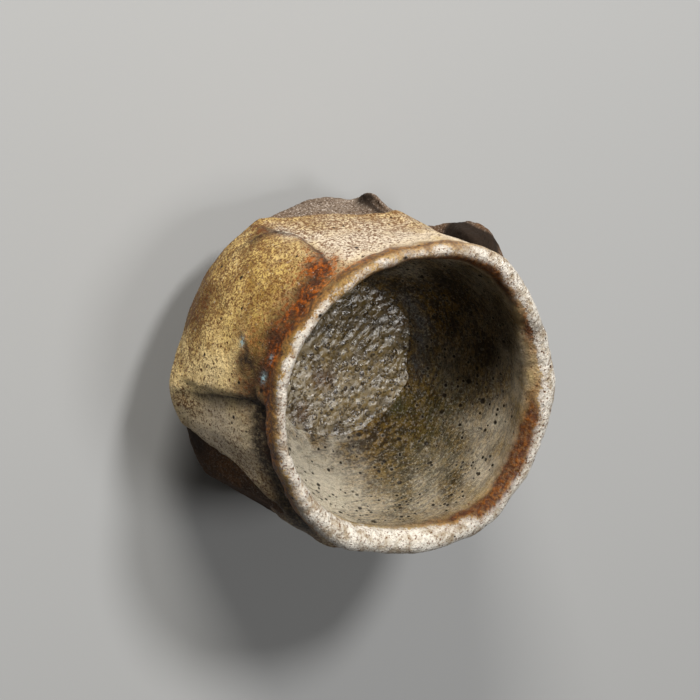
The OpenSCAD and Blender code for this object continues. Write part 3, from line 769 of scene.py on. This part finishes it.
class SAKECUP_OT_foot(bpy.types.Operator):
    """Lute the foot ring to the underside"""
    bl_idname = "sake_cup.foot"
    bl_label = "Foot ring"

    def execute(self, context):
        piece = copy_of("foot_ring", "stoneware_foot")
        clay_skin(piece, 0.4)
        rest = points(piece)
        rest = even_out(rest, edges(piece), 5)
        low = rest[:, 2].min()
        rest[:, 2] = np.maximum((rest[:, 2] - low) * (FOOT_TOP + 0.25) / (rest[:, 2].max() - low), 0)
        up = ease(rest[:, 2], 0.3, 1.5)
        shift = up * (0.22 * ripple(rest, 8, 7) + 0.06 * ripple(rest, 1.4, 8))
        place(piece, rest + outward(rest) * shift[:, None])
        turn, drop, r = polar(rest)
        # The foot's top, where it meets the body, is darkened as painted shade.
        keep(piece, "clay_tint", np.stack([0 * r, 0.5 * ease(rest[:, 2], 3.6, 4.4), 0 * r, 1 + 0 * r], 1))
        finish_piece(piece, "foot_ring", raw_clay_finish("foot stoneware", context.scene.sake_cup_colours))
        return {"FINISHED"}


class SAKECUP_OT_coats(bpy.types.Operator):
    """Pour the three coats of glaze: outside, over the lip and inside"""
    bl_idname = "sake_cup.coats"
    bl_label = "Glaze coats"

    def execute(self, context):
        body = bpy.data.objects.get("stoneware_body")
        if body is None:
            raise RuntimeError("the clay body comes first")
        skin = bpy.data.objects.new("glaze_skin", body.data.copy())
        context.scene.collection.objects.link(skin)
        skin.data.materials.clear()
        rest = kept(skin, "rest", 3)
        depth = kept(skin, "cover")
        thick = coat_thickness(rest, depth)
        links = edges(skin)
        way = even_out(normals(skin), links, 3)
        way /= np.maximum(np.linalg.norm(way, axis=1), 1e-6)[:, None]
        place(skin, even_out(points(skin) + way * thick[:, None], links, 2))
        keep(skin, "thick", thick)
        hidden = (rest[:, 2] < FLOOR_IN + 0.8) & (polar(rest)[2] < 20)
        drop_points(skin, (depth < -0.8) | hidden)
        tint_coat(skin, kept(skin, "rest", 3))
        for node_name, slot, name, finish_name, shine in (
                ("outer_glaze", "ash_glaze", "ash_coat", "fired ash glaze", 0.16),
                ("lip_glaze", "pale_lip_glaze", "lip_coat", "fired pale glaze", 0.3),
                ("inner_glaze", "olive_glaze", "inner_coat", "fired olive glaze", 0.55)):
            piece = bpy.data.objects.new(name, skin.data.copy())
            piece.data.name = name
            context.scene.collection.objects.link(piece)
            self.part(piece, node_name)
            self.close(piece)
            finish_piece(piece, node_name, fired_glaze_finish(finish_name, context.scene.sake_cup_colours, shine))
        bpy.data.objects.remove(skin)
        # The body now needs fewer faces
        count = sum(len(f.vertices) - 2 for f in body.data.polygons)
        use(body, "DECIMATE", ratio=min(1.0, 190000 / count))
        return {"FINISHED"}

    def part(self, piece, node_name):
        """Keeps only the faces of one coat."""
        rest = kept(piece, "rest", 3)
        middle = np.array([rest[list(f.vertices)].mean(0) for f in piece.data.polygons])
        over = middle[:, 2] > NECK
        inner = ~over & (np.hypot(middle[:, 0], middle[:, 1]) < 27.3) & (middle[:, 2] > FLOOR_IN - 1)
        mine = {"lip_glaze": over, "inner_glaze": inner, "outer_glaze": ~over & ~inner}[node_name]
        drop_faces(piece, ~mine)

    def close(self, piece):
        """Gives the coat its back, just inside the clay."""
        group = piece.vertex_groups.new(name="thick")
        thick = np.clip((kept(piece, "thick") + 0.15) / 1.4, 0.1, 1)
        for i, w in enumerate(thick):
            group.add([i], float(w), "REPLACE")
        use(piece, "SOLIDIFY", thickness=1.4 * MM, offset=-1, vertex_group="thick", thickness_vertex_group=0.0)


class SAKECUP_OT_pool(bpy.types.Operator):
    """Let the clear glaze pool on the floor inside"""
    bl_idname = "sake_cup.pool"
    bl_label = "Glaze pool"

    def execute(self, context):
        piece = copy_of("glaze_pool", "pooled_glass")
        clay_skin(piece, 0.26)
        rest = even_out(points(piece), edges(piece), 4)
        turn, drop, r = polar(rest)
        top = ease(rest[:, 2], WATERLINE - 1.2, WATERLINE - 0.5)
        rest[:, 2] += top * (0.07 * ripple(rest, 3.5, 61) + 0.05 * ripple(rest, 1.1, 62) + 0.04 * ripple(rest, 0.7, 63)) + top * 0.35 * ease(r, 13.5, 16)
        spread = 1 + 0.05 * ease(rest[:, 2], FLOOR_IN, WATERLINE)
        place(piece, rest * np.stack([spread, spread, np.ones(len(r))], 1))
        # The pale marks at the pool's lower left are partly milky glass and partly painted light where the lamps fall.
        pale = marks(rest, [(-80, 28.5, 11, 7, 3, 0.9), (-100, 28.5, 15, 4, 3, 0.6), (-40, 28.5, 12, 5, 3, 0.6), (-138, 28.5, 8, 3, 3, 0.3)], 1.2)
        # Marks at turns 92 to 130 are a dark line along the pool's edge; those at turns -75 to -122 are a painted
        # shadow just inside its lower edge.
        dark = marks(rest, [(92, 28.4, 14.4, 2.2, 3, 1.0), (106, 28.4, 15.4, 1.4, 3, 1.0), (118, 28.4, 15.6, 1.3, 3, 1.0), (130, 28.4, 15.6, 1.1, 3, 0.8),
                            (-75, 28.4, 13.4, 2.2, 3, 0.5), (-98, 28.4, 13.4, 2.2, 3, 0.5), (-122, 28.4, 13.6, 1.8, 3, 0.6)], 0.6)
        brown = marks(rest, [(90, 28.5, 12.6, 2.4, 3, 0.7), (-85, 28.5, 12.5, 2.0, 3, 0.7), (-60, 28.5, 5, 2, 3, 0.6), (120, 28.5, 13.6, 2.0, 3, 0.5)], 0.8)
        # A painted highlight along the pool's lower edge.
        bead_highlight = np.exp(-((r - 15.0) / 0.5) ** 2) * (1 - ease(np.abs((turn + 100 + 180) % 360 - 180), 55, 85))
        keep(piece, "pool_tint", np.stack([np.maximum(pale, bead_highlight), dark, brown, 1 + 0 * r], 1))
        finish_piece(piece, "glaze_pool", pool_finish("pooled glass", context.scene.sake_cup_colours))
        return {"FINISHED"}


class SAKECUP_OT_stage(bpy.types.Operator):
    """Set up the floor, the lights and the camera"""
    bl_idname = "sake_cup.stage"
    bl_label = "Stage"

    def execute(self, context):
        s = context.scene.sake_cup_stage
        bpy.ops.object.select_all(action="DESELECT")
        bpy.ops.mesh.primitive_plane_add(size=6, location=(0, 0, 0))
        floor = context.active_object
        floor.name = "studio_floor"
        mat, tree, at, shader = new_finish("pale floor")
        tree.links.new(blend(tree, noise(tree, at, 6), tone(s.floor), tone([c * 0.97 for c in s.floor])), shader.inputs["Base Color"])
        shader.inputs["Roughness"].default_value = 0.7
        floor.data.materials.append(mat)

        world = bpy.data.worlds.new("studio")
        world.use_nodes = True
        world.node_tree.nodes["Background"].inputs["Color"].default_value = (1.0, 0.93, 0.84, 1)
        world.node_tree.nodes["Background"].inputs["Strength"].default_value = s.fill
        context.scene.world = world

        centre = Vector((0, 0, TOP * MM))
        for name, way, far, size, power, colour in (
                ("key_light", Vector((-0.60, -0.70, 0.40)), 0.9, 0.28, s.key, (1.0, 0.95, 0.87)),
                ("side_light", Vector((-0.62, -0.25, 0.745)), 0.9, 0.16, s.key * s.side, (1.0, 0.97, 0.93)),
                ("top_light", Vector((-0.20, 0.25, 0.947)), 0.9, 0.26, s.key * s.over, (1.0, 0.98, 0.95))):
            lamp = bpy.data.lights.new(name, "AREA")
            lamp.shape = "DISK"
            lamp.energy = power
            lamp.size = size
            lamp.color = colour
            holder = bpy.data.objects.new(name, lamp)
            context.scene.collection.objects.link(holder)
            holder.location = centre + way.normalized() * far
            holder.rotation_euler = way.to_track_quat("Z", "Y").to_euler()

        # The camera looks into the mouth as the photograph does, turned so that the cup lies the same way
        right = Vector((-0.50754, 0.70147, 0.50035))
        up = Vector((-0.86163, -0.41319, -0.29473))
        back = right.cross(up)
        seen_at = Vector((67.5, -54.3, -s.lens / 36 * 700)).normalized()
        swing = Vector((0, 0, -1)).rotation_difference(seen_at).to_matrix()
        turn = Matrix((right, up, back)).transposed() @ swing.transposed()
        lens = bpy.data.cameras.new("camera")
        lens.sensor_fit = "HORIZONTAL"
        lens.sensor_width = 36
        lens.lens = s.lens
        lens.clip_start = 0.01
        camera = bpy.data.objects.new("camera", lens)
        context.scene.collection.objects.link(camera)
        camera.matrix_world = Matrix.Translation(centre + back * s.distance) @ turn.to_4x4()
        context.scene.camera = camera
        context.scene.view_settings.view_transform = "Standard"
        return {"FINISHED"}


class SAKECUP_PT_panel(bpy.types.Panel):
    bl_label = "Sake cup"
    bl_space_type = "VIEW_3D"
    bl_region_type = "UI"
    bl_category = "Sake Cup"

    def draw(self, context):
        for group in ("sake_cup_clay", "sake_cup_glaze", "sake_cup_colours", "sake_cup_stage"):
            settings = getattr(context.scene, group)
            box = self.layout.box()
            for name in settings.__annotations__:
                box.prop(settings, name)
        for operator in OPERATORS:
            self.layout.operator(operator.bl_idname)


GROUPS = {"sake_cup_clay": SakeCupClay, "sake_cup_glaze": SakeCupGlaze, "sake_cup_colours": SakeCupColours,
          "sake_cup_stage": SakeCupStage}
OPERATORS = (SAKECUP_OT_clay, SAKECUP_OT_foot, SAKECUP_OT_coats, SAKECUP_OT_pool, SAKECUP_OT_stage)


def register():
    for cls in (*GROUPS.values(), *OPERATORS, SAKECUP_PT_panel):
        bpy.utils.register_class(cls)
    for name, cls in GROUPS.items():
        setattr(bpy.types.Scene, name, bpy.props.PointerProperty(type=cls))


def unregister():
    for name in GROUPS:
        delattr(bpy.types.Scene, name)
    for cls in (SAKECUP_PT_panel, *reversed(OPERATORS), *reversed(list(GROUPS.values()))):
        bpy.utils.unregister_class(cls)


def main():
    register()
    bpy.ops.sake_cup.clay()
    bpy.ops.sake_cup.foot()
    bpy.ops.sake_cup.coats()
    bpy.ops.sake_cup.pool()
    bpy.ops.sake_cup.stage()


if __name__ == "__main__":
    main()
